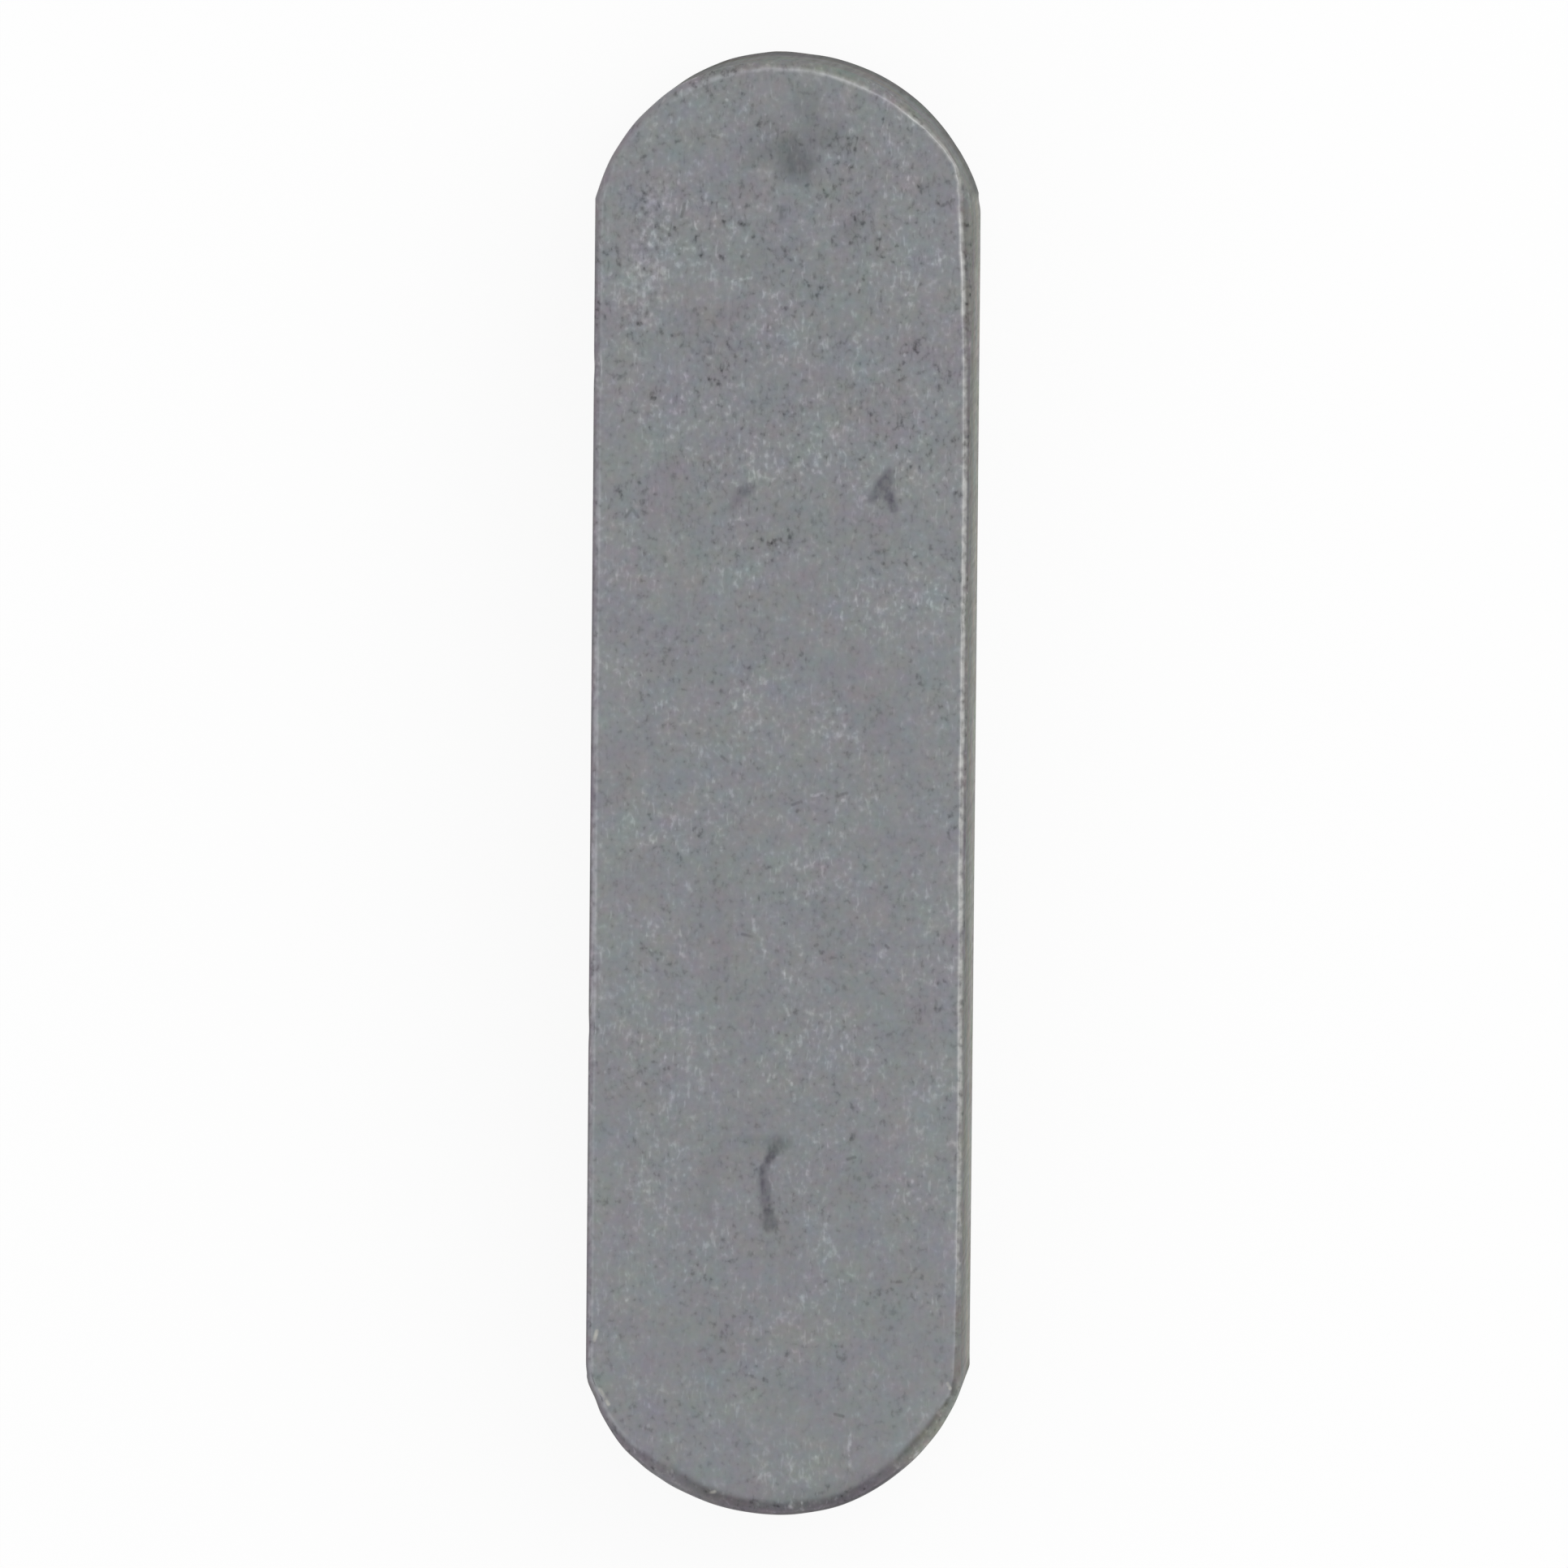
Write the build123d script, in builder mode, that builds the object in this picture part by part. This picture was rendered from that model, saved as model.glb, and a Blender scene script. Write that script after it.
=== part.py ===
"""Parallel key with two round ends, the plain steel bar that locks a hub to its shaft.

The key is one piece. It is cut from drawn rectangular bar, which already carries a chamfer along its
four long edges, and both ends are then punched round. It lies on a wide face: +Z runs through the
thickness, +Y along the length, and the origin is the middle of the wide face that it lies on.
All sizes are in millimetres.
"""

import os

from build123d import *

# The drawn bar
width = 18.0  # flank to flank, the fit in the keyway
height = 11.0  # wide face to wide face
bar_chamfer = 0.4  # leg of the 45 degree chamfer along each long edge

# The punched ends
length = 70.0  # over both round ends
end_oversize = 0.4  # how far an end's radius is over half the width, so that it meets the flanks at a corner
rolled_edge_radius = 0.8  # upper edge of the -Y end, which the punch pulled down
broken_edge_radius = 0.2  # every other edge of the two ends, broken by tumbling

end_radius = width / 2 + end_oversize
end_centre_y = length / 2 - end_radius


def round_end(side, upper_edge_radius):
    """The whole disc that one round end is part of, centred on side * end_centre_y."""
    with BuildPart() as disc:
        with Locations((0, side * end_centre_y)):
            Cylinder(end_radius, height, align=(Align.CENTER, Align.CENTER, Align.MIN))
        upper_rim = disc.edges().filter_by(GeomType.CIRCLE).sort_by(Axis.Z)[-1]
        fillet(upper_rim, upper_edge_radius)
        lower_rim = disc.edges().filter_by(GeomType.CIRCLE).sort_by(Axis.Z)[0]
        fillet(lower_rim, broken_edge_radius)
    return disc.part


near_end = round_end(-1, rolled_edge_radius)
far_end = round_end(1, broken_edge_radius)

# What the punches leave of an endless bar: the two discs and all that lies between their centres
with BuildPart() as punched_form:
    Box(2 * end_radius, 2 * end_centre_y, height, align=(Align.CENTER, Align.CENTER, Align.MIN))
    add([near_end, far_end])

with BuildPart() as parallel_key:
    with BuildSketch(Plane.XZ) as bar_section:
        with Locations((0, height / 2)):
            Rectangle(width, height)
        chamfer(bar_section.vertices(), bar_chamfer)
    extrude(amount=length / 2, both=True)
    add(punched_form.part, mode=Mode.INTERSECT)

parallel_key.part.label = "parallel_key"

os.makedirs("parts", exist_ok=True)
export_step(parallel_key.part, "parts/parallel_key.step")
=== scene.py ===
"""The parallel key as it lies on a bench: its worn edges, its tumbled finish and a plain studio.

The key is one piece of drawn steel bar with two round ends. In plan it is a strip between two flat
flanks, and each end is an arc a little wider than the bar, which meets the flanks at a shallow corner,
the shoulder. The upper edge is worn to a different width at each place round the key, and the end at
-Y is rolled down. Lengths are in metres in the frame of the solid model, and the lists of places,
widths and marks are in millimetres, because a key is measured in them.
"""

import math

import bmesh
import bpy
from mathutils import Matrix, Vector


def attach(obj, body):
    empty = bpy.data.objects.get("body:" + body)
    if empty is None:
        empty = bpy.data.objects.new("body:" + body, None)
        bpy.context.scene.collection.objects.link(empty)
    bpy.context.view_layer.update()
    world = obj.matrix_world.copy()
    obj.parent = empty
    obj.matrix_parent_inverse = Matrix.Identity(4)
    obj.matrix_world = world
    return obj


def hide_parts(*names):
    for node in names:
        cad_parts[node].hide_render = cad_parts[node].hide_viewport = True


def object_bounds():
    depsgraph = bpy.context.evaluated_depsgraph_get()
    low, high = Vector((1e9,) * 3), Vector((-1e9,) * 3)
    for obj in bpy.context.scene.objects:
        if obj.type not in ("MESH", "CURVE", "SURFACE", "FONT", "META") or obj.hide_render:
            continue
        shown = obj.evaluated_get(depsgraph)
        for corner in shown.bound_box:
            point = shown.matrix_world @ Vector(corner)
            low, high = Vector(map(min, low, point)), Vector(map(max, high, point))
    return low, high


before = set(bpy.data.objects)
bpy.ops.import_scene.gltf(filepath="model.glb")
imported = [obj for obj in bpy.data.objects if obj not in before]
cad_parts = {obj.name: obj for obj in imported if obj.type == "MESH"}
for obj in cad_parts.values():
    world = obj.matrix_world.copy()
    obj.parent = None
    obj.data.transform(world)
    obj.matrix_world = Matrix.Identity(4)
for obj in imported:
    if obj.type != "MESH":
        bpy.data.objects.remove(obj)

MM = 0.001
LOWEST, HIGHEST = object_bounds()

bl_info = {
    "name": "Parallel Key",
    "version": (1, 0, 0),
    "blender": (4, 5, 0),
    "location": "View3D > Sidebar > Key",
    "description": "Builds a worn steel parallel key and the studio that it is shown in",
    "category": "Object",
}


# ---------------------------------------------------------------- What a user can change


class KeyShape(bpy.types.PropertyGroup):
    """Sizes of the key."""

    end_oversize: bpy.props.FloatProperty(
        name="End oversize",
        description="How far the radius of an end is over half the width of the bar",
        default=0.4 * MM,
        unit="LENGTH",
    )
    flank_chamfer: bpy.props.FloatProperty(
        name="Flank chamfer",
        description="Leg of the chamfer along the lower edge of each flank",
        default=0.4 * MM,
        unit="LENGTH",
    )
    end_break: bpy.props.FloatProperty(
        name="End edge break",
        description="Radius that tumbling has left on the lower edge of each end",
        default=0.2 * MM,
        unit="LENGTH",
    )
    mesh_step: bpy.props.FloatProperty(
        name="Mesh step",
        description="Distance between neighbouring points on the upper face",
        default=0.17 * MM,
        unit="LENGTH",
    )


def colour_property(name, description, default):
    """A colour that can be changed in the sidebar."""
    return bpy.props.FloatVectorProperty(
        name=name, description=description, default=default, min=0, max=1, subtype="COLOR")


class KeyFinish(bpy.types.PropertyGroup):
    """Colours of the steel, of what lies on it, and of the painted light and shade on its edges and
    walls.
    """

    steel: colour_property("Steel", "Mean colour of the tumbled faces", (0.2245, 0.2315, 0.243))
    # Painted bounce light: the flank film is lighter at its foot, by the floor, and darker below the
    # upper edge
    flank_film_shaded_top: colour_property(
        "Flank film, high", "Film on a flank, below its upper edge", (0.195, 0.198, 0.189))
    flank_film_lit_foot: colour_property(
        "Flank film, low", "Film on a flank, at its foot", (0.305, 0.307, 0.284))
    far_film: colour_property("Far film", "Film on the wall of the far end", (0.203, 0.206, 0.202))
    # Painted light on the near end's film: darker at the left as painted shade, lighter at the right as
    # painted light
    near_film_left_shaded: colour_property(
        "Near film, left", "Film on the left of the near end", (0.17, 0.16, 0.158))
    near_film_right_lit: colour_property(
        "Near film, right", "Film on the right of the near end", (0.258, 0.258, 0.24))
    stain: colour_property("Stain", "The grey stains", (0.034, 0.041, 0.045))
    smudge: colour_property("Smudge", "The purplish smudges", (0.055, 0.047, 0.07))
    stroke: colour_property("Stroke", "Core of the stroke-shaped mark", (0.05, 0.045, 0.06))
    # Painted highlight: the ridges are light partly from rubbing and partly as a painted highlight
    rubbed_lit_ridge_left: colour_property("Ridge, left", "Rubbed ridge of the left flank", (0.49, 0.485, 0.53))
    rubbed_lit_ridge_right: colour_property("Ridge, right", "Rubbed ridge of the right flank", (0.5, 0.5, 0.49))
    # Painted highlight: bright spots on burrs and small facets of the near end, partly rubbed steel
    rubbed_spot_highlight: colour_property("Rubbed spot", "Single bright spots at the edge", (0.48, 0.47, 0.43))


class StudioSettings(bpy.types.PropertyGroup):
    """The studio round the key."""

    floor_colour: bpy.props.FloatVectorProperty(
        name="Floor colour",
        description="Colour of the paper that the key lies on",
        default=(0.93, 0.93, 0.93),
        subtype="COLOR",
    )
    floor_glow: bpy.props.FloatProperty(
        name="Floor glow",
        description="Share of plain white in the seen floor, which leaves the rest to the key's shadow",
        default=0.9,
        min=0,
        max=1,
        subtype="FACTOR",
    )
    surround: bpy.props.FloatProperty(
        name="Surround light",
        description="Strength of the even light from all round",
        default=0.78,
    )
    softbox: bpy.props.FloatProperty(
        name="Softbox light",
        description="Power of the large soft lamp beyond the far right corner",
        default=1.5,
        unit="POWER",
    )
    camera_distance: bpy.props.FloatProperty(
        name="Camera distance",
        description="From the camera to the upper face of the key",
        default=0.85,
        unit="LENGTH",
    )
    field_width: bpy.props.FloatProperty(
        name="Field width",
        description="Width of the square that the camera sees at the upper face",
        default=75 * MM,
        unit="LENGTH",
    )


# ---------------------------------------------------------------- Plan of the key


class Plan:
    """The outline of the key seen from above, and what lies inside it."""

    def __init__(self, shape):
        self.half_width = (HIGHEST.x - LOWEST.x) / 2
        self.half_length = (HIGHEST.y - LOWEST.y) / 2
        self.end_radius = self.half_width + shape.end_oversize
        self.end_centre = self.half_length - self.end_radius
        self.shoulder = self.shoulder_at(0)
        self.end_arc = self.end_radius * math.asin(self.half_width / self.end_radius)
        self.perimeter = 4 * (self.end_arc + self.shoulder)

    def shoulder_at(self, inset):
        """How far from the middle the shoulders are, on an outline this far inside the real one."""
        radius = self.end_radius - inset
        return self.end_centre + math.sqrt(radius**2 - (self.half_width - inset) ** 2)

    def point(self, across, row, inset):
        """A point of the key's grid. across goes from -1 to 1 over the width. row goes from -2 to -1 in
        the near end, from -1 to 1 between the shoulders and from 1 to 2 in the far end."""
        shoulder = self.shoulder_at(inset)
        if abs(row) <= 1:
            return Vector((across * (self.half_width - inset), row * shoulder))
        along = abs(row) - 1
        x = across * math.sqrt(1 - along**2 / 2)
        y = along * math.sqrt(1 - across**2 / 2)
        share = math.hypot(x, y)
        bearing = math.atan2(x, y)
        drop = shoulder - self.end_centre
        radius = self.end_radius - inset
        reach = math.sqrt(radius**2 - (drop * math.sin(bearing)) ** 2) - drop * math.cos(bearing)
        x = share * reach * math.sin(bearing)
        y = shoulder + share * reach * math.cos(bearing)
        return Vector((x, math.copysign(y, row)))

    def pushed(self, point, inset, swell):
        """A point of the outline, pushed out by this much as far as the flanks and the tips allow."""
        middle = math.copysign(min(abs(point.y), self.end_centre), point.y)
        out = Vector((point.x, point.y - middle)).normalized()
        moved = point + out * swell
        wide = self.half_width - inset
        long = self.half_length - inset
        return Vector((min(wide, max(-wide, moved.x)), min(long, max(-long, moved.y))))

    def far_end(self, bearing):
        """Distance round the outline, clockwise from the far tip, to a bearing on the far end, which is
        in degrees."""
        return self.end_radius * math.radians(bearing) % self.perimeter

    def near_end(self, bearing):
        """The same for the near end, whose tip is at a bearing of 180 degrees."""
        return self.perimeter / 2 + self.end_radius * math.radians(bearing - 180)

    def right_flank(self, y):
        """The same for a place on the right flank, where y is in millimetres."""
        return self.end_arc + self.shoulder - y * MM

    def left_flank(self, y):
        """The same for a place on the left flank."""
        return self.perimeter - self.end_arc - self.shoulder + y * MM

    def round_from_tip(self, point):
        """Distance round the outline, clockwise from the far tip, to a point on it."""
        if abs(point.y) <= self.shoulder:
            flank = self.right_flank if point.x > 0 else self.left_flank
            return flank(point.y / MM)
        if point.y > 0:
            return self.far_end(math.degrees(math.atan2(point.x, point.y - self.end_centre)))
        return self.near_end(180 - math.degrees(math.atan2(point.x, -point.y - self.end_centre)))


class Round:
    """Values that change round the outline: a list of places with their values, smoothly joined."""

    def __init__(self, plan, places):
        self.perimeter = plan.perimeter
        self.places = sorted((place % plan.perimeter, values) for place, values in places)

    def at(self, distance):
        """The values at this distance round the outline."""
        before = [p for p in self.places if p[0] <= distance] or [self.places[-1]]
        after = [p for p in self.places if p[0] > distance] or [self.places[0]]
        start, low = before[-1]
        stop, high = after[0]
        span = (stop - start) % self.perimeter or self.perimeter
        share = ((distance - start) % self.perimeter) / span
        ease = share * share * (3 - 2 * share)
        return [a + (b - a) * ease for a, b in zip(low, high)]


# How the upper edge is worn and cut, at places round the key. The first number says where: on an end it
# is a bearing in degrees, clockwise from the far tip, and on a flank it is y. Then come the width of the
# worn edge, how round it is (1 is a flat chamfer, 2 a quarter round), how brightly it is rubbed and lit
# by a painted highlight, how dark the painted shade over it is, and how far the outline stands out of
# the true one at the upper face and at the foot of the wall. Lengths are in millimetres
FAR_END_EDGE = (
    (-72, 0.36, 1.4, 0.25, 0.3, 0.0, 0.0),
    (-58, 0.3, 1.8, 0.15, 0.15, 0.09, 0.09),
    (-46, 0.42, 1.9, 0.1, 0.05, 0.16, 0.16),
    (-34, 0.5, 1.9, 0.15, 0.0, 0.2, 0.2),
    (-22, 0.46, 1.8, 0.35, 0.0, 0.12, 0.16),
    (-8, 0.42, 1.7, 0.45, 0.0, 0.02, 0.06),
    (6, 0.48, 1.6, 0.4, 0.0, 0.0, -0.1),
    (22, 0.5, 1.5, 0.42, 0.0, 0.0, -0.15),
    (38, 0.4, 1.5, 0.52, 0.0, 0.0, -0.17),
    (50, 0.24, 1.5, 0.52, 0.0, 0.0, -0.19),
    (57, 0.13, 1.5, 0.55, 0.0, 0.0, -0.19),
    (61, 0.1, 1.5, 0.6, 0.0, 0.0, -0.17),
    (65, 0.26, 1.5, 0.62, 0.1, 0.0, -0.15),
    (70, 0.5, 1.4, 0.7, 0.3, 0.0, -0.13),
)
RIGHT_FLANK_EDGE = (
    (28.2, 0.57, 1.3, 0.85, 0.4, -0.06, -0.12),
    (27.3, 0.56, 1.25, 0.9, 0.5, 0.0, -0.01),
    (24, 0.4, 1.2, 0.95, 0.55, 0.0, 0.0),
    (20, 0.3, 1.15, 0.92, 0.65, 0.0, 0.0),
    (14, 0.26, 1.15, 1.0, 0.65, 0.0, 0.0),
    (6, 0.27, 1.15, 1.0, 0.6, 0.0, 0.0),
    (-2, 0.28, 1.15, 1.1, 0.65, 0.0, 0.0),
    (-9, 0.24, 1.15, 1.0, 0.6, 0.0, 0.0),
    (-17, 0.2, 1.15, 0.8, 0.55, 0.0, 0.0),
    (-22.5, 0.24, 1.2, 0.7, 0.6, 0.0, 0.0),
    (-26, 0.3, 1.3, 0.2, 0.35, 0.0, 0.0),
    (-28, 0.36, 1.4, 0.15, 0.25, 0.0, 0.0),
)
NEAR_END_EDGE = (
    (110, 0.5, 1.7, 0.05, 0.4, 0.12, 0.12),
    (120, 0.8, 1.9, 0.0, 0.5, 0.08, 0.08),
    (130, 0.95, 1.9, 0.0, 0.56, 0.04, 0.04),
    (142, 0.88, 2.0, 0.0, 0.74, 0.0, 0.0),
    (158, 0.78, 2.0, 0.0, 0.85, 0.0, 0.0),
    (172, 0.88, 2.0, 0.0, 0.8, -0.06, -0.06),
    (188, 0.94, 2.0, 0.0, 0.68, -0.11, -0.11),
    (204, 1.05, 2.0, 0.0, 0.62, -0.08, -0.08),
    (214, 1.18, 2.0, 0.0, 0.53, 0.0, 0.0),
    (222, 0.9, 2.0, 0.05, 0.58, 0.03, 0.03),
    (230, 0.56, 1.9, 0.15, 0.55, 0.06, 0.06),
    (241, 0.36, 1.7, 0.35, 0.48, 0.0, 0.0),
    (247, 0.34, 1.6, 0.4, 0.48, -0.05, -0.05),
    (252, 0.32, 1.5, 0.5, 0.4, 0.0, 0.0),
)
LEFT_FLANK_EDGE = (
    (-26, 0.28, 1.3, 0.4, 0.4, 0.0, 0.0),
    (-16, 0.28, 1.3, 0.32, 0.42, 0.0, 0.0),
    (-7, 0.29, 1.3, 0.62, 0.42, 0.0, 0.0),
    (1, 0.3, 1.3, 0.52, 0.42, 0.0, 0.0),
    (11, 0.32, 1.3, 0.5, 0.42, 0.0, 0.0),
    (20, 0.32, 1.3, 0.28, 0.4, 0.0, 0.0),
    (26, 0.34, 1.3, 0.25, 0.4, 0.0, 0.0),
)


def upper_edge(plan):
    """The wear of the upper edge, joined all round the key."""
    sides = (
        (plan.far_end, FAR_END_EDGE),
        (plan.right_flank, RIGHT_FLANK_EDGE),
        (plan.near_end, NEAR_END_EDGE),
        (plan.left_flank, LEFT_FLANK_EDGE),
    )
    return Round(plan, [(distance(at), values) for distance, table in sides for at, *values in table])


# ---------------------------------------------------------------- The key's mesh

FACE_INSETS = (0.05, 0.13, 0.26, 0.5)  # rows of points on the upper face, from its worn edge inwards
INNER_INSET = 1.8  # where the even grid of the upper face begins
EDGE_STEPS = 8  # faces over the worn upper edge
WALL_STEPS = 8  # faces down the wall
LOWER_STEPS = 4  # faces over the lower edge
ARC_PER_ROW = 1.6  # steps of arc that one row of points in an end takes up
SHOULDER_BLEND = 0.4 * MM  # each side of a shoulder, where the lower edges of end and flank run together
END_ROUNDNESS = 2.0  # of the lower edge of an end, a quarter round
FLANK_ROUNDNESS = 1.2  # of the lower edge of a flank, nearly a flat chamfer
UNDERSIDE = 3.1  # the section's value on the underside

# What the finish reads at each vertex: how far it is past the ridge of the worn edge in millimetres,
# where it is round the section, how brightly the edge is rubbed and lit by a painted highlight, how dark
# the painted shade over the edge is, how far it belongs to a flank and not to an end, and how strong the
# stains and the smudges are
LAYERS = ("past_ridge", "section", "rub_and_highlight", "edge_shade", "flank", "stain", "smudge")


def smooth_step(low, high, value):
    """0 at low, 1 at high and a smooth step between them."""
    share = min(1, max(0, (value - low) / (high - low)))
    return share * share * (3 - 2 * share)


def worn_profile(width, roundness, steps):
    """Points over a worn edge: how far each is in from the wall, and how far down from the face."""
    power = 2 / roundness
    turns = [math.pi / 2 * step / steps for step in range(steps + 1)]
    return [(width * (1 - math.sin(t) ** power), width * (1 - math.cos(t) ** power)) for t in turns]


def edge_rings(plan, shape, edge, distance):
    """The points down from the face at one place on the outline: inset, height, how far past the ridge
    and where round the section. The section is below 0 on the face, and goes from 0 to 1 over the worn
    edge, to 2 down the wall and to 3 over the lower edge."""
    top = HIGHEST.z
    width, roundness, rub_and_highlight, edge_shade, swell, foot_swell = edge.at(distance)
    width *= MM
    rings = []
    for inset in reversed(FACE_INSETS):
        rings.append((width + inset * MM, top, -inset * MM, -inset))
    over = worn_profile(width, roundness, EDGE_STEPS)
    for step, (inset, drop) in enumerate(over):
        rings.append((inset, top - drop, math.hypot(width - inset, drop), step / EDGE_STEPS))
    tips = (0, plan.perimeter / 2, plan.perimeter)
    from_tip = min(abs(tip - distance) for tip in tips)
    on_flank = smooth_step(plan.end_arc - SHOULDER_BLEND, plan.end_arc + SHOULDER_BLEND, from_tip)
    lower = shape.end_break + (shape.flank_chamfer - shape.end_break) * on_flank
    wall_top = top - width
    for step in range(1, WALL_STEPS):
        share = step / WALL_STEPS
        height = wall_top + (LOWEST.z + lower - wall_top) * share
        rings.append((0, height, math.hypot(width, width) + wall_top - height, 1 + share))
    lower_roundness = END_ROUNDNESS + (FLANK_ROUNDNESS - END_ROUNDNESS) * on_flank
    under = worn_profile(lower, lower_roundness, LOWER_STEPS)
    for step, (inset, drop) in enumerate(reversed(under)):
        rings.append((inset, LOWEST.z + drop, top, 2 + step / LOWER_STEPS))
    rings.append((lower + FACE_INSETS[0] * MM, LOWEST.z, top, UNDERSIDE))
    return rings, (rub_and_highlight, edge_shade, on_flank), (swell * MM, foot_swell * MM)


# Stains on the upper face. Each is a run of x, y and radius, then how dark it is and how wide its soft
# rim is. Lengths are in millimetres
STAINS = (
    (((0.15, -16.95, 0.25), (0.0, -17.15, 0.26)), 0.34, 0.2),
    (((0.0, -17.15, 0.2), (-0.25, -17.55, 0.1)), 0.42, 0.2),
    (((-0.28, -20.2, 0.16), (-0.2, -20.75, 0.27)), 0.42, 0.2),
    (((0.1, -16.9, 0.3), (0.5, -16.9, 0.15)), 0.26, 0.3),
    (((-1.4, -16.7, 0.0), (0.0, -16.8, 0.1)), 0.14, 0.3),
    (((0.35, 30.8, 0.15), (0.7, 30.05, 0.25)), 0.4, 1.1),
    (((0.9, 30.9, 0.1), (2.2, 31.6, 0.1)), 0.17, 0.9),
    (((-1.4, 30.6, 0.1), (0.2, 30.7, 0.1)), 0.15, 0.9),
    (((-0.6, 32.0, 0.05), (2.6, 31.9, 0.05)), 0.12, 0.6),
    (((1.2, 33.0, 0.2), (1.0, 31.2, 0.3)), 0.15, 0.9),
    (((-0.03, 27.95, 0.0), (-0.05, 27.5, 0.0)), 0.4, 0.25),
    (((3.1, 26.9, 0.1), (3.6, 27.4, 0.0)), 0.16, 0.5),
    (((6.6, 29.05, 0.0), (6.65, 28.9, 0.0)), 0.3, 0.25),
    (((-3.0, -17.9, 0.1), (-3.3, -20.2, 0.15)), 0.06, 0.6),
    (((-3.4, -20.1, 0.0), (-3.0, -20.4, 0.0)), 0.14, 0.3),
    (((-9.0, -28.15, 0.0), (-8.7, -28.2, 0.0)), 0.6, 0.2),
    (((8.7, -28.4, 0.0), (8.7, -28.8, 0.0)), 0.4, 0.3),
)

# Purplish smudges, given in the same way
SMUDGES = (
    (((5.15, 15.4, 0.0), (4.95, 14.75, 0.28)), 0.5, 0.35),
    (((4.95, 14.7, 0.25), (4.35, 14.1, 0.05)), 0.42, 0.3),
    (((5.0, 14.6, 0.2), (5.45, 13.6, 0.02)), 0.5, 0.3),
    (((-1.55, 14.5, 0.12), (-1.8, 14.4, 0.1)), 0.5, 0.3),
    (((-1.9, 14.3, 0.1), (-2.3, 13.6, 0.0)), 0.22, 0.4),
    (((-0.2, -17.6, 0.1), (-0.54, -18.2, 0.13), (-0.48, -18.9, 0.16)), 0.38, 0.22),
    (((-0.48, -18.9, 0.16), (-0.4, -19.6, 0.17), (-0.34, -20.1, 0.12)), 0.38, 0.2),
)


def darkest_at(place, marks):
    """How strong the strongest of these marks is at a point of the key."""
    darkest = 0
    for run, strength, softness in marks:
        for (x0, y0, r0), (x1, y1, r1) in zip(run, run[1:]):
            start = Vector((x0, y0, HIGHEST.z / MM))
            span = Vector((x1, y1, HIGHEST.z / MM)) - start
            share = min(1, max(0, (place - start).dot(span) / span.length_squared))
            rim = (place - start - span * share).length - (r0 + (r1 - r0) * share)
            darkest = max(darkest, strength * smooth_step(softness, 0, rim))
    return darkest


# Knocks in the upper edge: x, y, radius and depth in millimetres. A depth below 0 is a burr
DENTS = (
    (-8.95, -28.2, 0.3, 0.07),
    (-8.5, -28.6, 0.3, 0.05),
    (-8.2, -29.3, 0.35, 0.06),
    (8.45, -28.35, 0.3, 0.07),
    (-2.9, -33.9, 0.3, -0.04),
    (-3.4, -34.2, 0.3, 0.06),
    (8.8, 8.4, 0.4, 0.05),
    (8.75, -16.6, 0.35, 0.05),
    (-8.85, 20.2, 0.5, 0.04),
    (-8.8, -11.5, 0.5, 0.04),
    (6.3, 32.2, 0.5, 0.04),
    (-6.0, 32.6, 0.6, 0.05),
)
DENT_REACH = 1.0  # how far down from the upper face a knock is felt, in millimetres
DENT_SPREAD = 3  # how many of its radii a knock is felt sideways


def press_dents(vertex):
    """Pushes a vertex down and in, where it lies in a knock. A burr leaves the upper face flat."""
    below = (HIGHEST.z - vertex.co.z) / MM
    if below > DENT_REACH:
        return
    for x, y, radius, depth in DENTS:
        away = math.hypot(vertex.co.x / MM - x, vertex.co.y / MM - y) / radius
        push = depth * math.exp(-away * away) * (1 - below / DENT_REACH)
        if away < DENT_SPREAD and (depth > 0 or below > 0):
            vertex.co.z -= push * MM
            if below > 0:
                vertex.co.x -= math.copysign(push * MM, vertex.co.x)


def grid_rim(last, columns):
    """The places round the grid, anticlockwise from its near left corner, as row and column."""
    near = [(0, c) for c in range(columns)]
    right = [(r, columns) for r in range(last)]
    far = [(last, c) for c in range(columns, 0, -1)]
    left = [(r, 0) for r in range(last, 0, -1)]
    return near + right + far + left


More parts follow.
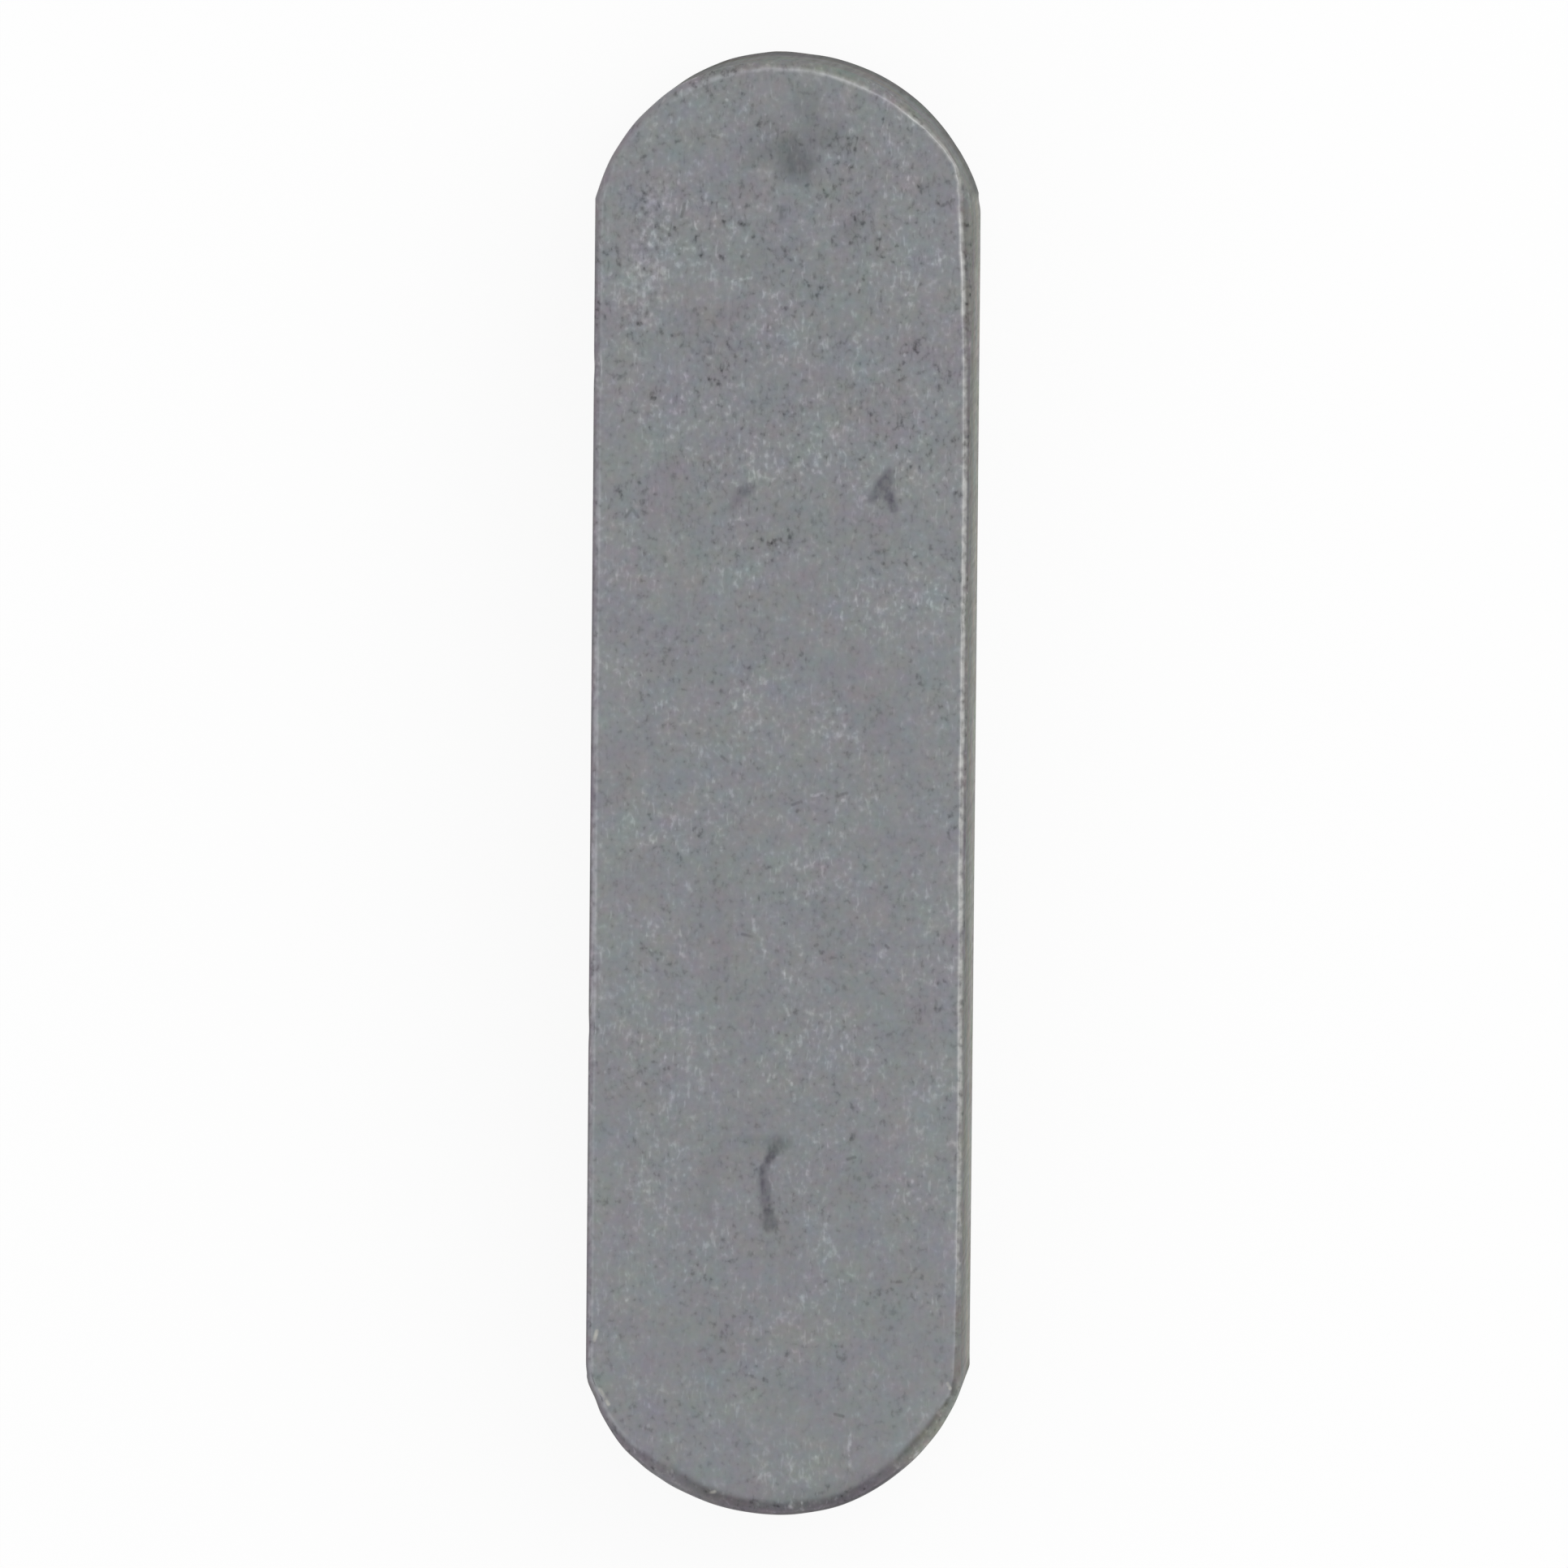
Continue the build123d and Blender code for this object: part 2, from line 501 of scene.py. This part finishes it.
def key_mesh(shape):
    """The whole key as one closed mesh."""
    plan = Plan(shape)
    edge = upper_edge(plan)
    columns = round(2 * (plan.half_width - INNER_INSET * MM) / shape.mesh_step)
    straight = round(2 * plan.shoulder / shape.mesh_step)
    rounded = round(plan.end_arc / ARC_PER_ROW / shape.mesh_step)
    rows = [-2 + i / rounded for i in range(rounded)]
    rows += [-1 + 2 * i / straight for i in range(straight)]
    rows += [1 + i / rounded for i in range(rounded + 1)]

    bm = bmesh.new()
    layers = [bm.verts.layers.float.new(name) for name in LAYERS]

    def add_vertex(point, height, values):
        vertex = bm.verts.new((point.x, point.y, height))
        marks = [darkest_at(vertex.co / MM, table) for table in (STAINS, SMUDGES)]
        for layer, value in zip(layers, (*values, *marks)):
            vertex[layer] = value
        return vertex

    inner = INNER_INSET * MM
    face_value = (-INNER_INSET, -INNER_INSET, 0, 0, 0)
    grid = [[add_vertex(plan.point(-1 + 2 * c / columns, row, inner), HIGHEST.z, face_value)
             for c in range(columns + 1)] for row in rows]
    for low, high in zip(grid, grid[1:]):
        for c in range(columns):
            bm.faces.new((low[c], low[c + 1], high[c + 1], high[c]))

    ladders = []
    for r, c in grid_rim(len(rows) - 1, columns):
        across = -1 + 2 * c / columns
        distance = plan.round_from_tip(plan.point(across, rows[r], 0))
        rings, finish, (swell, foot_swell) = edge_rings(plan, shape, edge, distance)
        ladder = [grid[r][c]]
        for inset, height, beyond, part in rings:
            down = (HIGHEST.z - height) / (HIGHEST.z - LOWEST.z)
            out = swell + (foot_swell - swell) * down
            point = plan.pushed(plan.point(across, rows[r], inset), inset, out)
            ladder.append(add_vertex(point, height, (beyond / MM, part, *finish)))
        ladders.append(ladder)
    for left, right in zip(ladders, ladders[1:] + ladders[:1]):
        for a, b, c, d in zip(left, left[1:], right[1:], right):
            bm.faces.new((a, b, c, d))
    bm.faces.new([ladder[-1] for ladder in reversed(ladders)])
    for vertex in bm.verts:
        press_dents(vertex)
    for face in bm.faces:
        face.smooth = True
    mesh = bpy.data.meshes.new("parallel_key_worn")
    bm.to_mesh(mesh)
    bm.free()
    return mesh


# ---------------------------------------------------------------- Shader maths


class Value:
    """An output socket. Arithmetic on it adds Math nodes."""

    def __init__(self, graph, socket):
        self.graph = graph
        self.socket = socket

    def maths(self, operation, *values):
        return self.graph.node("ShaderNodeMath", {"operation": operation}, [self, *values]).out()

    def __add__(self, other):
        return self.maths("ADD", other)

    __radd__ = __add__

    def __sub__(self, other):
        return self.maths("SUBTRACT", other)

    def __rsub__(self, other):
        return self.graph.node("ShaderNodeMath", {"operation": "SUBTRACT"}, [other, self]).out()

    def __mul__(self, other):
        return self.maths("MULTIPLY", other)

    __rmul__ = __mul__

    def smooth(self, low, high):
        """0 below low, 1 above high and a smooth step between them. It falls where low is over high."""
        settings = {"interpolation_type": "SMOOTHSTEP"}
        if low > high:
            return self.graph.node("ShaderNodeMapRange", settings, [self, high, low, 1, 0]).out()
        return self.graph.node("ShaderNodeMapRange", settings, [self, low, high, 0, 1]).out()

    def clamped(self):
        """The value, held between 0 and 1."""
        settings = {"operation": "MULTIPLY", "use_clamp": True}
        return self.graph.node("ShaderNodeMath", settings, [self, 1.0]).out()

    def most(self, other):
        return self.maths("MAXIMUM", other)

    def least(self, other):
        return self.maths("MINIMUM", other)


class Added:
    """A node that is already in the graph."""

    def __init__(self, graph, node):
        self.graph = graph
        self.node = node

    def out(self, name=0):
        return Value(self.graph, self.node.outputs[name])


class Graph:
    """The nodes of one material or world."""

    def __init__(self, owner):
        owner.use_nodes = True
        self.tree = owner.node_tree
        self.tree.nodes.clear()

    def node(self, kind, settings=None, inputs=()):
        """Adds a node. inputs is a list in the order of its sockets, or a dict by name or number."""
        made = self.tree.nodes.new(kind)
        for name, value in (settings or {}).items():
            setattr(made, name, value)
        named = inputs.items() if isinstance(inputs, dict) else enumerate(inputs)
        for name, value in named:
            socket = made.inputs[name]
            if isinstance(value, Value):
                self.tree.links.new(value.socket, socket)
            elif value is not None:
                socket.default_value = value
        return Added(self, made)

    def mix(self, factor, low, high):
        """A mix of two colours, each a socket or three numbers."""
        low, high = (colour if isinstance(colour, Value) else (*colour, 1) for colour in (low, high))
        return self.node("ShaderNodeMix", {"data_type": "RGBA"}, {0: factor, 6: low, 7: high}).out(2)

    def vector(self, operation, *values):
        return self.node("ShaderNodeVectorMath", {"operation": operation}, values)

    def scaled(self, vector, factor):
        inputs = {0: vector, "Scale": factor}
        return self.node("ShaderNodeVectorMath", {"operation": "SCALE"}, inputs).out()

    def noise(self, place, scale, detail=2.0, roughness=0.5):
        inputs = {"Vector": place, "Scale": scale, "Detail": detail, "Roughness": roughness}
        return self.node("ShaderNodeTexNoise", None, inputs)

    def attribute(self, name):
        return self.node("ShaderNodeAttribute", {"attribute_name": name}).out("Fac")


# ---------------------------------------------------------------- Finish of the steel

# Straight marks on the upper face and its edge: x and y of both ends, in millimetres
DARK_SCRATCHES = (
    (-3.5, 31.4, -3.1, 31.3),
    (-4.7, 28.1, -4.85, 27.5),
    (7.6, 28.15, 8.15, 28.45),
    (-7.4, 13.1, -7.1, 13.5),
    (-7.1, 13.5, -6.8, 13.1),
    (-7.8, 19.7, -7.45, 19.95),
    (0.7, -0.6, 1.1, -0.45),
    (2.8, -0.15, 3.3, 0.0),
    (3.5, -17.6, 3.85, -17.5),
    (-2.72, 1.68, -2.42, 1.45),
    (1.85, -7.35, 1.95, -7.3),
    (5.25, -7.3, 5.35, -7.4),
    (-1.65, -6.85, -1.2, -6.95),
    (3.0, -29.9, 3.4, -30.0),
)
BRIGHT_SCRATCHES = (
    (3.72, -30.7, 3.74, -32.4),
    (0.3, -10.0, 0.6, -10.7),
    (0.8, -14.0, 0.95, -14.9),
    (1.6, -0.15, 2.2, -0.05),
    (-2.4, 24.45, -1.5, 24.6),
    (-1.11, -6.15, -1.07, -6.75),
    (0.29, -5.98, 0.37, -6.45),
    (-2.71, -2.6, -2.7, -2.8),
    (3.1, -0.36, 3.2, -0.36),
)

# The thin core of the stroke-shaped mark
STROKE = (
    (-0.12, -17.35, -0.62, -18.12),
    (-0.62, -18.12, -0.6, -18.5),
    (-0.6, -18.5, -0.5, -19.3),
)

# A broad pale scuff by the far left shoulder
PALE_STREAKS = (
    (-6.2, 28.2, -6.7, 23.0),
)

# Short bright spots on the rim and the shoulders of the near end, where the edge is rubbed through, each
# also a painted highlight on a burr or small facet
RUBBED_HIGHLIGHT_SPOTS = (
    (-8.29, -28.88, -7.88, -29.58),
    (-8.6, -26.53, -8.46, -26.06),
    (8.4, -28.34, 8.52, -28.57),
    (-3.21, -33.92, -2.75, -33.74),
)


def scratches(graph, place, lines, radius):
    """1 in the middle of thin straight marks, and 0 at this distance from them, in millimetres."""
    nearest = None
    for x0, y0, x1, y1 in lines:
        span = Vector((x1 - x0, y1 - y0, 0))
        start = graph.vector("SUBTRACT", place, (x0, y0, HIGHEST.z / MM)).out()
        share = graph.vector("DOT_PRODUCT", start, tuple(span / span.length_squared)).out("Value")
        foot = graph.scaled(tuple(span), share.clamped())
        away = graph.vector("DISTANCE", start, foot).out("Value")
        nearest = nearest.least(away) if nearest else away
    return nearest.smooth(radius, 0.2 * radius)


def specks(graph, place, spacing, size, share):
    """Small round specks: one in each cube this wide, of which this share is there."""
    cells = graph.node("ShaderNodeTexVoronoi", None, {"Vector": place, "Scale": 1 / spacing})
    pick = graph.node("ShaderNodeSeparateColor", None, [cells.out("Color")])
    there = pick.out(0).smooth(1 - share, 1 - share + 0.05)
    reach = size / spacing * (pick.out(1) * 0.7 + 0.5)
    return (reach - cells.out("Distance")).smooth(0, 0.5 * size / spacing) * there


def dashes(graph, place, angle, length, width):
    """Uneven values in short strokes that lie at this angle to the key's length, in degrees."""
    turned = graph.node("ShaderNodeMapping", None, {
        "Vector": place,
        "Rotation": (0, 0, math.radians(angle)),
        "Scale": (1 / width, 1 / length, 1 / width),
    })
    return graph.noise(turned.out(), 1.0, 1.0).out(0)


def stretched(graph, place, scales, detail=2.0, roughness=0.5):
    """Noise around 0 that changes this often in a millimetre along each axis."""
    stretch = graph.vector("MULTIPLY", place, scales).out()
    return graph.noise(stretch, 1.0, detail, roughness).out(0) - 0.5


# How strongly each kind of mark, or painted shade, lightens or darkens the steel, as a share of its
# brightness
CLOUDS = 0.4
STREAKS = 0.1
GRAIN = 0.34
PALE_GRAIN = 0.28
DARK_GRAIN = 0.32
NICKS = 0.17
GLINTS = 0.26
SCUFFS = 0.24
DARK_SCRATCH = 0.35
BRIGHT_SCRATCH = 0.38
PALE_STREAK = 0.26
WALL_STREAKS = 0.52
DRAWN_LINES = 0.4
# Painted contact shadow at the foot of the end walls
WALL_FOOT_SHADE = 0.22
# Painted shade over the rolled edge: its dark reflection, its rim and its seam; then darker beside the
# roll
ROLL_SHADE = 0.46
RIM_SHADE = 0.36
SEAM_SHADE = 0.22
BESIDE_ROLL_DARKENING = 0.12

# How much of a mark's own colour, or of a painted highlight's, covers the steel where it is whole
STROKE_COVER = 0.3
RIDGE_HIGHLIGHT_COVER = 0.78
SPOT_HIGHLIGHT_COVER = 0.7

PURPLE_TINT = (1.1, 1.0, 1.05)  # what the bare roll over makes of the steel's colour


class SteelFinish:
    """The key's finish: grey, finely pitted steel, rubbed bright along its ridges, with painted light
    and shade.
    """

    def __init__(self, graph, colours):
        self.graph = graph
        self.colours = colours
        self.place = graph.scaled(graph.node("ShaderNodeTexCoord").out("Object"), 1 / MM)
        axes = graph.node("ShaderNodeSeparateXYZ", None, [self.place])
        self.across = axes.out(0)
        self.along = axes.out(1)
        self.up = axes.out(2)

        # What the mesh tells about each point
        self.past = graph.attribute("past_ridge")
        self.section = graph.attribute("section")
        # How brightly the ridge is rubbed and lit by a painted highlight
        self.rub_and_highlight = graph.attribute("rub_and_highlight")
        # How dark the painted shade over the worn edge is
        self.edge_shade = graph.attribute("edge_shade")
        self.flank = graph.attribute("flank")
        self.wall = self.section.smooth(0.8, 1.05)

        # A dull brown film that the walls have kept, up to the ridge where the edge isn't rolled over.
        # Its colour also holds painted light and shade, set in steel()
        unrolled = self.section.smooth(0.05, 0.3) * self.edge_shade.smooth(0.75, 0.55)
        self.film = self.wall.most(unrolled * self.across.smooth(-5, -1.5))

        # A slow drift that several things follow: the hue, the breaks in the ridge and its small waves
        self.drift = graph.noise(self.place, 0.45, 3, 0.9).out("Color")
        self.drifts = graph.node("ShaderNodeSeparateColor", None, [self.drift])

        # Clouds, grains and slanting strokes, which several kinds of marks follow
        self.cloud = graph.noise(self.place, 0.3, 4, 1.0).out(0) - 0.5
        self.fine_place = graph.vector("MULTIPLY", self.place, (3.7, 2.95, 1.3)).out()
        self.grit = graph.noise(self.fine_place, 1.0, 2, 0.5).out(0)
        self.broken = (self.grit * 2 - 0.3).clamped()
        self.bent = graph.vector("MULTIPLY_ADD", self.drift, (0.7, 0.7, 0.0), self.place).out()
        self.slanting = dashes(graph, self.bent, 25, 0.8, 0.25)

        # Lines that drawing has left along the flanks
        self.lines = stretched(graph, self.place, (1, 0.2, 5), 3, 0.7)

    def face_shade(self):
        """Light and dark of the tumbled faces, around 1."""
        graph, place, grit, cloud = self.graph, self.place, self.grit, self.cloud
        busy = self.along.smooth(6, 16)
        patchy = grit + cloud * 0.7
        crossing = self.slanting.most(dashes(graph, self.bent, -60, 0.7, 0.22))
        nicks = (crossing - cloud * 0.5 + busy * 0.04).smooth(0.66, 0.84)
        glints = specks(graph, self.fine_place, 2, 0.36, 0.2)
        scuffs = (dashes(graph, place, 3, 0.8, 0.2) + cloud * 0.5).smooth(0.63, 0.8)
        scuffs = scuffs + (self.slanting - cloud * 0.5).smooth(0.35, 0.2)
        fine = (grit - 0.5) * GRAIN + patchy.smooth(0.58, 0.86) * PALE_GRAIN
        fine = fine - patchy.smooth(0.42, 0.14) * DARK_GRAIN
        fine = fine - nicks * NICKS + glints * GLINTS + scuffs * SCUFFS
        clusters = graph.noise(place, 0.28, 1).out(0).smooth(0.32, 0.66) * 0.6 + 0.7
        streaks = stretched(graph, place, (2.6, 0.4, 1))
        marks = cloud * CLOUDS + streaks * STREAKS + fine * clusters

        # The marks are stronger towards the far end and on the rolled edge, and weaker on the walls
        gain = self.along.smooth(-32, -18) * 0.18 + busy * 0.18 + 0.66
        gain = gain + self.section.smooth(0.0, 0.3) * (self.edge_shade + 0.1)
        shade = 1 + marks * gain * (1 - self.wall * 0.6)

        # The face is a little lighter towards the flanks, and a little darker towards the far end
        shade = shade + self.across * self.across * 0.0004
        return shade - self.along.smooth(0, 30) * 0.02

    def scratched(self, shade):
        """The shade with the single scratches in it."""
        graph, place, grit = self.graph, self.place, self.grit
        dark = scratches(graph, place, DARK_SCRATCHES, 0.12) * self.broken
        bright = scratches(graph, place, BRIGHT_SCRATCHES, 0.13) * grit.smooth(0.38, 0.62)
        pale = scratches(graph, place, PALE_STREAKS, 1.4) * grit.smooth(0.4, 0.7)
        return shade - dark * DARK_SCRATCH + bright * BRIGHT_SCRATCH + pale * PALE_STREAK

    def on_walls(self, shade):
        """The shade with fine streaks down the walls and drawn lines along the flanks. The walls of the
        ends are darker at their foot, a painted contact shadow."""
        streaks = stretched(self.graph, self.place, (3.2, 3.2, 0.15), 2, 0.6)
        shade = shade + (streaks * WALL_STREAKS + self.lines * self.flank * DRAWN_LINES) * self.wall
        # Painted shade: the end walls darken towards their foot, where the key meets the floor
        foot = self.up.smooth(6.2, 3) * (1 - self.flank) * self.wall
        return shade * (1 - foot * WALL_FOOT_SHADE)

    def painted_edge_shade(self, shade):
        """The shade darkened by painted shade where the edge is rolled over: a painted dark reflection
        over the roll and at the rim of the bare roll, a painted dark line along the upper side of the
        film at the near right, and darker on the face beside the roll."""
        section, edge_shade, film = self.section, self.edge_shade, self.film
        fading = section.smooth(0.35, 0.75) * (film * 0.5 + 0.5)
        # Painted dark reflection and shade over the roll, its rim and its seam with the film
        painted_roll_shade = section.smooth(0.0, 0.25) * (1 - fading) * edge_shade
        rim = section.smooth(0.53, 0.7) * edge_shade.smooth(0.1, 0.8) * (1 - film)
        painted_seam_shade = section.smooth(0.0, 0.12) * section.smooth(0.42, 0.2) * film * self.along.smooth(-26, -30)
        darker_beside_roll = self.past.smooth(-0.8, 0.1) * edge_shade.smooth(0.6, 0.9)
        dark = (painted_roll_shade * ROLL_SHADE + rim * RIM_SHADE + painted_seam_shade * SEAM_SHADE) * (self.drifts.out(2) + 0.55)
        return shade * (1 - dark * (1 - self.wall * 0.9)) * (1 - darker_beside_roll * BESIDE_ROLL_DARKENING)

    def ridge_rub_and_highlight(self):
        """How brightly the ridge of the worn edge is rubbed, with a painted highlight along it."""
        ridge = self.past + (self.drifts.out(0) - 0.5) * 0.18
        line = ridge.smooth(0.3, 0.1) * ridge.smooth(-0.13, 0.02) * self.rub_and_highlight
        long_breaks = self.drifts.out(1).smooth(0.34, 0.58) * 0.75 + 0.3
        short_breaks = self.grit.smooth(0.25, 0.65) * 0.55 + 0.5
        return line * long_breaks * short_breaks

    def steel(self):
        """The colour of the steel, which wanders between bluish, greenish and purplish grey, under the
        film of the walls. The film's colour holds painted light: lighter towards the foot of each flank
        as painted bounce light, lighter at the near right as painted light, and darker at the near left
        as painted shade."""
        graph, drift, colours = self.graph, self.drift, self.colours
        hue = graph.vector("MULTIPLY_ADD", drift, (0.31, 0.29, 0.25), (0.845, 0.855, 0.875)).out()
        steel = graph.vector("MULTIPLY", hue, colours.steel).out()
        # Painted bounce light: the flank's film grows lighter down towards its foot
        flank_film = graph.mix(self.up.smooth(10, 1), colours.flank_film_shaded_top, colours.flank_film_lit_foot)
        # Painted light and shade: the near end's film is darker at the left and lighter at the right
        near_film = graph.mix(self.across.smooth(-2, 5), colours.near_film_left_shaded, colours.near_film_right_lit)
        end_film = graph.mix(self.along.smooth(-22, -28), colours.far_film, near_film)
        film_colour = graph.mix(self.flank, end_film, flank_film)
        blotches = graph.vector("MULTIPLY_ADD", drift, (0.5, 0.4, 0.4), (0.75, 0.8, 0.8)).out()
        steel = graph.mix(self.film, steel, graph.vector("MULTIPLY", blotches, film_colour).out())
        purple = graph.vector("MULTIPLY", steel, PURPLE_TINT).out()
        return graph.mix(self.section.smooth(0.0, 0.5) * (1 - self.film), steel, purple)

    def marked(self, colour, rub_highlight_mask):
        """The colour with its stains and smudges, and over them the rubbed ridge and spots, both partly
        painted highlight.
        """
        graph, colours, grit = self.graph, self.colours, self.grit
        mottled = grit * 1.8 + self.slanting * 0.9 - 0.35
        stain = (graph.attribute("stain") * mottled).clamped()
        colour = graph.mix(stain, colour, colours.stain)
        smudge = (graph.attribute("smudge") * (grit * 2.4 - 0.2)).clamped()
        colour = graph.mix(smudge, colour, colours.smudge)
        core = scratches(graph, self.place, STROKE, 0.18) * (grit * 2 - 0.2)
        colour = graph.mix((core * STROKE_COVER).clamped(), colour, colours.stroke)
        # Colour of the rubbed ridge with its painted highlight
        ridge = graph.mix(self.across.smooth(-7, 7), colours.rubbed_lit_ridge_left, colours.rubbed_lit_ridge_right)
        colour = graph.mix((rub_highlight_mask * RIDGE_HIGHLIGHT_COVER).clamped(), colour, ridge)
        # Painted highlights on burrs and facets, partly rubbed steel
        spots = scratches(graph, self.place, RUBBED_HIGHLIGHT_SPOTS, 0.14) * self.broken
        return graph.mix((spots * SPOT_HIGHLIGHT_COVER).clamped(), colour, colours.rubbed_spot_highlight)

    def relief(self):
        """The relief that is too fine for the mesh: grains everywhere, and drawn lines on the flanks."""
        height = self.grit * (1 - self.wall * 0.5) + self.lines * self.wall * self.flank
        inputs = {"Strength": 0.5, "Distance": 0.01 * MM, "Height": height}
        return self.graph.node("ShaderNodeBump", None, inputs).out()


def tumbled_steel(colours):
    """The key's material."""
    material = bpy.data.materials.new("tumbled_steel")
    graph = Graph(material)
    finish = SteelFinish(graph, colours)
    shade = finish.painted_edge_shade(finish.on_walls(finish.scratched(finish.face_shade())))
    rub_highlight_mask = finish.ridge_rub_and_highlight()
    surface = graph.node("ShaderNodeBsdfPrincipled", None, {
        "Base Color": finish.marked(graph.scaled(finish.steel(), shade), rub_highlight_mask),
        "Metallic": 0.9 - finish.film * 0.9,
        "Roughness": 0.46 + (finish.grit - 0.5) * 0.3 - rub_highlight_mask * 0.12,
        "Specular IOR Level": 0.0,
        "Normal": finish.relief(),
    })
    graph.node("ShaderNodeOutputMaterial", None, {"Surface": surface.out()})
    return material


# ---------------------------------------------------------------- Studio and operators

FLOOR_REACH = 1.2  # from the middle of the floor to its sides, in metres
SOFTBOX_SIDE = 0.6  # in metres
SOFTBOX_PLACE = (0.35, 0.3, 0.42)
CAMERA_AIM = (0.29 * MM, 0.394 * MM)  # the point of the upper face in the middle of the view
CAMERA_LEANS = (3.0, 4.7)  # how far the camera leans to the right and to the far end, in degrees
CAMERA_ROLL = -0.51  # in degrees
SENSOR_WIDTH = 36  # in millimetres
CAMERA_SIGHT = 10  # how far the camera sees, in metres


def seen_as_white(graph):
    """1 where a surface is seen, also in gloss or through glass, and 0 where it only gives light."""
    rays = graph.node("ShaderNodeLightPath")
    reflected = rays.out("Is Glossy Ray").most(rays.out("Is Transmission Ray"))
    return rays.out("Is Camera Ray").most(reflected)


class OBJECT_OT_build_parallel_key(bpy.types.Operator):
    """Build the worn parallel key in place of its plain solid."""

    bl_idname = "object.build_parallel_key"
    bl_label = "Build Parallel Key"

    def execute(self, context):
        shape = context.scene.key_shape
        key = bpy.data.objects.new("parallel_key_worn", key_mesh(shape))
        context.collection.objects.link(key)
        key.data.materials.append(tumbled_steel(context.scene.key_finish))
        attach(key, "root")
        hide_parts("parallel_key")
        return {"FINISHED"}


class OBJECT_OT_build_studio(bpy.types.Operator):
    """Build the floor, the surround, the softbox and the camera."""

    bl_idname = "object.build_studio"
    bl_label = "Build Studio"

    def execute(self, context):
        studio = context.scene.studio_settings
        scene = context.scene
        self.add_floor(context, studio)
        self.add_surround(scene, studio)
        self.add_softbox(context, studio)
        self.add_camera(context, studio)
        scene.view_settings.view_transform = "Standard"
        return {"FINISHED"}

    def add_floor(self, context, studio):
        """White paper that keeps the key's shadow."""
        mesh = bpy.data.meshes.new("floor")
        bm = bmesh.new()
        bmesh.ops.create_grid(bm, x_segments=1, y_segments=1, size=FLOOR_REACH)
        bm.to_mesh(mesh)
        bm.free()
        floor = bpy.data.objects.new("floor", mesh)
        floor.location.z = LOWEST.z
        context.collection.objects.link(floor)
        material = bpy.data.materials.new("white_paper")
        graph = Graph(material)
        paper = graph.node("ShaderNodeBsdfDiffuse", None, {"Color": (*studio.floor_colour, 1)}).out()
        glow = graph.node("ShaderNodeEmission", None, {"Strength": 1}).out()
        share = seen_as_white(graph) * studio.floor_glow
        both = graph.node("ShaderNodeMixShader", None, [share, paper, glow]).out()
        graph.node("ShaderNodeOutputMaterial", None, {"Surface": both})
        mesh.materials.append(material)

    def add_surround(self, scene, studio):
        """Even light from all round, seen as white."""
        world = bpy.data.worlds.new("surround")
        scene.world = world
        graph = Graph(world)
        strength = studio.surround + seen_as_white(graph) * (1 - studio.surround)
        light = graph.node("ShaderNodeBackground", None, {"Color": (1, 1, 1, 1), "Strength": strength})
        graph.node("ShaderNodeOutputWorld", None, {"Surface": light.out()})

    def add_softbox(self, context, studio):
        """A square soft lamp that faces the key."""
        lamp = bpy.data.lights.new("softbox", "AREA")
        lamp.shape = "RECTANGLE"
        lamp.size = SOFTBOX_SIDE
        lamp.size_y = SOFTBOX_SIDE
        lamp.energy = studio.softbox
        softbox = bpy.data.objects.new("softbox", lamp)
        softbox.location = SOFTBOX_PLACE
        softbox.rotation_mode = "QUATERNION"
        softbox.rotation_quaternion = softbox.location.to_track_quat("Z", "Y")
        context.collection.objects.link(softbox)

    def add_camera(self, context, studio):
        """The camera looks down on the key from a little beyond its far right corner."""
        aim = Vector((*CAMERA_AIM, HIGHEST.z))
        lean_right, lean_far, roll = (math.radians(angle) for angle in (*CAMERA_LEANS, CAMERA_ROLL))
        back = Vector((math.tan(lean_right), math.tan(lean_far), 1)).normalized()
        right = Vector((0, 1, 0)).cross(back).normalized()
        up = back.cross(right)
        rolled_right = math.cos(roll) * right - math.sin(roll) * up
        rolled_up = math.sin(roll) * right + math.cos(roll) * up
        data = bpy.data.cameras.new("camera")
        data.sensor_width = SENSOR_WIDTH
        data.lens = data.sensor_width * studio.camera_distance / studio.field_width
        data.clip_end = CAMERA_SIGHT
        camera = bpy.data.objects.new("camera", data)
        turn = Matrix((rolled_right, rolled_up, back)).transposed().to_4x4()
        camera.matrix_world = Matrix.Translation(aim + back * studio.camera_distance) @ turn
        context.collection.objects.link(camera)
        context.scene.camera = camera


class VIEW3D_PT_parallel_key(bpy.types.Panel):
    """The operators in the order in which they are used."""

    bl_label = "Parallel Key"
    bl_space_type = "VIEW_3D"
    bl_region_type = "UI"
    bl_category = "Key"

    def draw(self, context):
        layout = self.layout
        scene = context.scene
        for group in (scene.key_shape, scene.key_finish, scene.studio_settings):
            for name in group.__annotations__:
                layout.prop(group, name)
        layout.operator(OBJECT_OT_build_parallel_key.bl_idname)
        layout.operator(OBJECT_OT_build_studio.bl_idname)


CLASSES = (
    KeyShape,
    KeyFinish,
    StudioSettings,
    OBJECT_OT_build_parallel_key,
    OBJECT_OT_build_studio,
    VIEW3D_PT_parallel_key,
)


def register():
    for cls in CLASSES:
        bpy.utils.register_class(cls)
    bpy.types.Scene.key_shape = bpy.props.PointerProperty(type=KeyShape)
    bpy.types.Scene.key_finish = bpy.props.PointerProperty(type=KeyFinish)
    bpy.types.Scene.studio_settings = bpy.props.PointerProperty(type=StudioSettings)


def unregister():
    del bpy.types.Scene.studio_settings
    del bpy.types.Scene.key_finish
    del bpy.types.Scene.key_shape
    for cls in reversed(CLASSES):
        bpy.utils.unregister_class(cls)


def main():
    register()
    bpy.ops.object.build_parallel_key()
    bpy.ops.object.build_studio()


if __name__ == "__main__":
    main()
